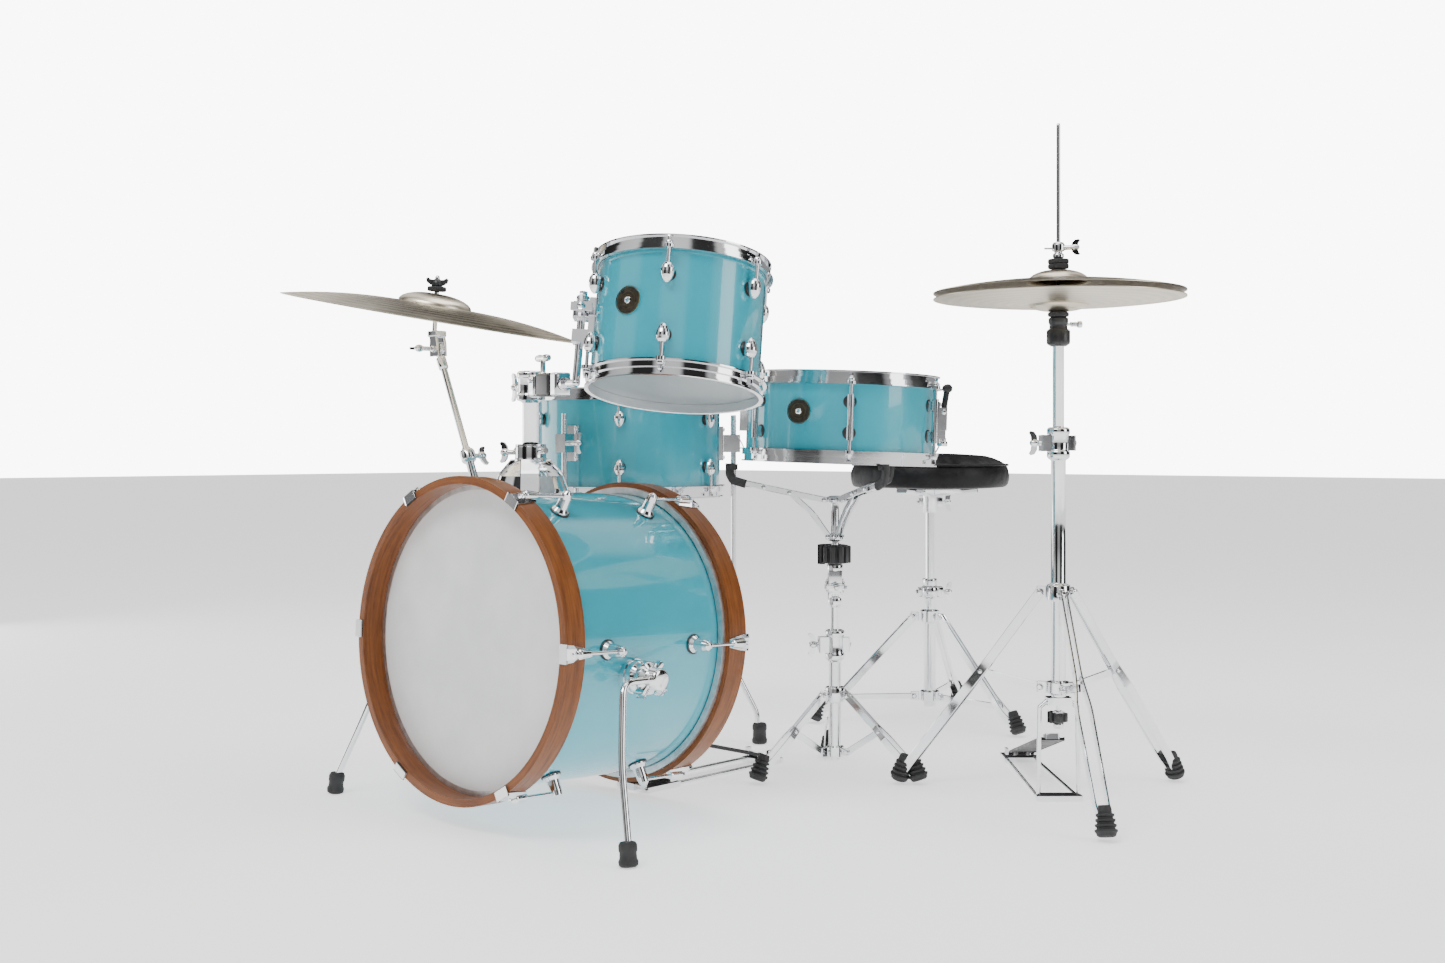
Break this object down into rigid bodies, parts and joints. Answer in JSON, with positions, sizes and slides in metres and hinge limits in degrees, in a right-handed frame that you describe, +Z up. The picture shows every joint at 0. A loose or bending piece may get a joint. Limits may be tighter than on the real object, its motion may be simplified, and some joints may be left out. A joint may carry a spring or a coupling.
{
  "type": "acoustic drum kit",
  "caption": "Acoustic drum kit: bass drum with pedal, rack tom, floor tom, snare on stand, hi-hat, crash cymbal on an arm, and a round throne.",
  "frame": {"origin": "floor level, at the middle of the whole kit's footprint", "axes": "+Z up; the bass drum's front head faces -Y and the player sits towards +Y, facing -Y; +X is the player's left"},
  "size_m": [1.3546, 1.6202, 1.107],
  "materials": {
    "lacquer": "gloss",
    "wood": "satin",
    "head_film": "satin",
    "bronze": "polished",
    "vinyl": "satin",
    "felt": "matte",
    "black_metal": "satin",
    "chrome": "polished"
  },
  "bodies": {
    "kit": {"bass_shell": "lacquer", "bass_hoops": "wood", "bass_heads": "head_film", "bass_lugs": "chrome", "bass_claws": "chrome", "bass_fittings": "chrome", "floor_tom_legs": "chrome", "kick_frame": "chrome", "hihat_base_tube": "chrome", "hihat_pedal_frame": "chrome", "hihat_legs": "chrome", "hihat_struts": "chrome", "snare_stand_base_tube": "chrome", "snare_stand_collar": "chrome", "snare_stand_leg_1": "chrome", "snare_stand_leg_2": "chrome", "snare_stand_leg_3": "chrome", "snare_stand_strut_1": "chrome", "snare_stand_strut_2": "chrome", "snare_stand_strut_3": "chrome", "throne_base_tube": "chrome", "throne_legs": "chrome"},
    "spur_left": {"spur_left": "chrome"},
    "spur_right": {"spur_right": "chrome"},
    "tom_post": {"tom_post": "chrome"},
    "tom_arm": {"tom_arm": "chrome"},
    "rack_tom": {"tom_shell": "lacquer", "tom_hoops": "chrome", "tom_heads": "head_film", "tom_lugs": "chrome", "tom_bracket": "chrome"},
    "crash_arm": {"crash_arm": "chrome"},
    "crash_tilter": {"crash_tilter": "chrome", "crash_felts": "felt"},
    "crash_cymbal": {"crash_cymbal": "bronze"},
    "floor_tom": {"floor_tom_shell": "lacquer", "floor_tom_hoops": "chrome", "floor_tom_heads": "head_film", "floor_tom_lugs": "chrome"},
    "snare": {"snare_basket": "chrome", "snare_shell": "lacquer", "snare_hoops": "chrome", "snare_heads": "head_film", "snare_lugs": "chrome", "snare_strainer": "chrome", "snare_wires": "chrome"},
    "snare_lever": {"snare_lever": "black_metal"},
    "stand_upper": {"snare_stand_upper_tube": "chrome"},
    "hihat_upper": {"hihat_upper_tube": "chrome", "hihat_bottom_cymbal": "bronze"},
    "hihat_rod": {"hihat_rod": "chrome"},
    "hihat_top": {"hihat_clutch": "chrome", "hihat_top_cymbal": "bronze"},
    "hihat_footboard": {"hihat_footboard": "black_metal"},
    "throne_post": {"throne_post": "chrome"},
    "throne_seat": {"throne_hub": "chrome", "throne_seat": "vinyl"},
    "kick_footboard": {"kick_footboard": "black_metal"},
    "kick_beater": {"kick_beater": "chrome"},
    "kick_chain": {"kick_chain": "chrome"}
  },
  "joints": [
    {"name": "spur_left_fold", "type": "hinge", "parent": "kit", "child": "spur_left", "pos_m": [0.1774, -0.57665, 0.238], "axis": [1, 0, 0], "range_deg": [-80, 0]},
    {"name": "spur_right_fold", "type": "hinge", "parent": "kit", "child": "spur_right", "pos_m": [-0.3786, -0.57665, 0.238], "axis": [1, 0, 0], "range_deg": [-80, 0]},
    {"name": "tom_height", "type": "slide", "parent": "kit", "child": "tom_post", "axis": [0, 0, 1], "range_m": [-0.04, 0.05]},
    {"name": "tom_tilt", "type": "hinge", "parent": "tom_post", "child": "tom_arm", "pos_m": [-0.1006, -0.57765, 0.67334], "axis": [0.9699, -0.2433, 0], "range_deg": [-8, 8]},
    {"name": "tom_swivel", "type": "hinge", "parent": "tom_arm", "child": "rack_tom", "pos_m": [0.04506, -0.61419, 0.67334], "axis": [-0.0746, 0.1805, 0.9807], "range_deg": [-8, 8]},
    {"name": "crash_arm_extend", "type": "slide", "parent": "kit", "child": "crash_arm", "axis": [-0.4789, 0.0734, 0.8748], "range_m": [0, 0.06]},
    {"name": "crash_arm_tilt", "type": "hinge", "parent": "crash_arm", "child": "crash_tilter", "pos_m": [-0.3666, -0.55465, 0.744], "axis": [0, -1, 0], "range_deg": [-12, 12]},
    {"name": "crash_swing", "type": "hinge", "parent": "crash_tilter", "child": "crash_cymbal", "pos_m": [-0.37259, -0.55398, 0.83831], "axis": [0.3553, -0.9347, 0], "range_deg": [-3, 3], "stiffness_Nm_per_rad": 8},
    {"name": "floor_tom_height", "type": "slide", "parent": "kit", "child": "floor_tom", "axis": [0, 0, 1], "range_m": [-0.1, 0.03]},
    {"name": "snare_height", "type": "slide", "parent": "kit", "child": "stand_upper", "axis": [0, 0, 1], "range_m": [-0.03, 0.08]},
    {"name": "snare_tilt", "type": "hinge", "parent": "stand_upper", "child": "snare", "pos_m": [0.0704, -0.02265, 0.334], "axis": [-0.6756, 0.7373, 0], "range_deg": [-8, 8]},
    {"name": "strainer_throw_off", "type": "hinge", "parent": "snare", "child": "snare_lever", "pos_m": [0.2085, 0.10815, 0.63886], "axis": [-0.6883, 0.7254, 0.0006], "range_deg": [0, 75]},
    {"name": "hihat_height", "type": "slide", "parent": "kit", "child": "hihat_upper", "axis": [0, 0, 1], "range_m": [-0.05, 0.08]},
    {"name": "hihat_pedal", "type": "hinge", "parent": "kit", "child": "hihat_footboard", "pos_m": [0.24446, 0.30665, 0.018], "axis": [-0.7373, -0.6756, 0], "range_deg": [-1.6, 0], "stiffness_Nm_per_rad": 60},
    {"name": "hihat_rod_pull", "type": "slide", "parent": "kit", "child": "hihat_rod", "axis": [0, 0, -1], "range_m": [0, 0.0075]},
    {"name": "hihat_clutch_set", "type": "slide", "parent": "hihat_rod", "child": "hihat_top", "axis": [0, 0, 1], "range_m": [-0.05, 0.08]},
    {"name": "throne_height", "type": "slide", "parent": "kit", "child": "throne_post", "axis": [0, 0, 1], "range_m": [0, 0.12]},
    {"name": "seat_spin", "type": "hinge", "parent": "throne_post", "child": "throne_seat", "pos_m": [-0.1346, 0.55735, 0.48], "axis": [0, 0, 1], "continuous": true},
    {"name": "kick_pedal", "type": "hinge", "parent": "kit", "child": "kick_footboard", "pos_m": [-0.1006, -0.03065, 0.016], "axis": [1, 0, 0], "range_deg": [0, 8], "stiffness_Nm_per_rad": 20},
    {"name": "kick_beater_swing", "type": "hinge", "parent": "kit", "child": "kick_beater", "pos_m": [-0.1006, -0.28765, 0.175], "axis": [1, 0, 0], "range_deg": [0, 55]},
    {"name": "kick_chain_pull", "type": "slide", "parent": "kit", "child": "kick_chain", "axis": [0, 0, -1], "range_m": [0, 0.0393]}
  ],
  "couplings": [
    {"joint": "hihat_rod_pull", "follows": "hihat_pedal", "m_per_rad": -0.26857},
    {"joint": "hihat_clutch_set", "follows": "hihat_height", "ratio": 1},
    {"joint": "kick_beater_swing", "follows": "kick_pedal", "ratio": 6.875},
    {"joint": "kick_chain_pull", "follows": "kick_pedal", "m_per_rad": 0.28075}
  ]
}
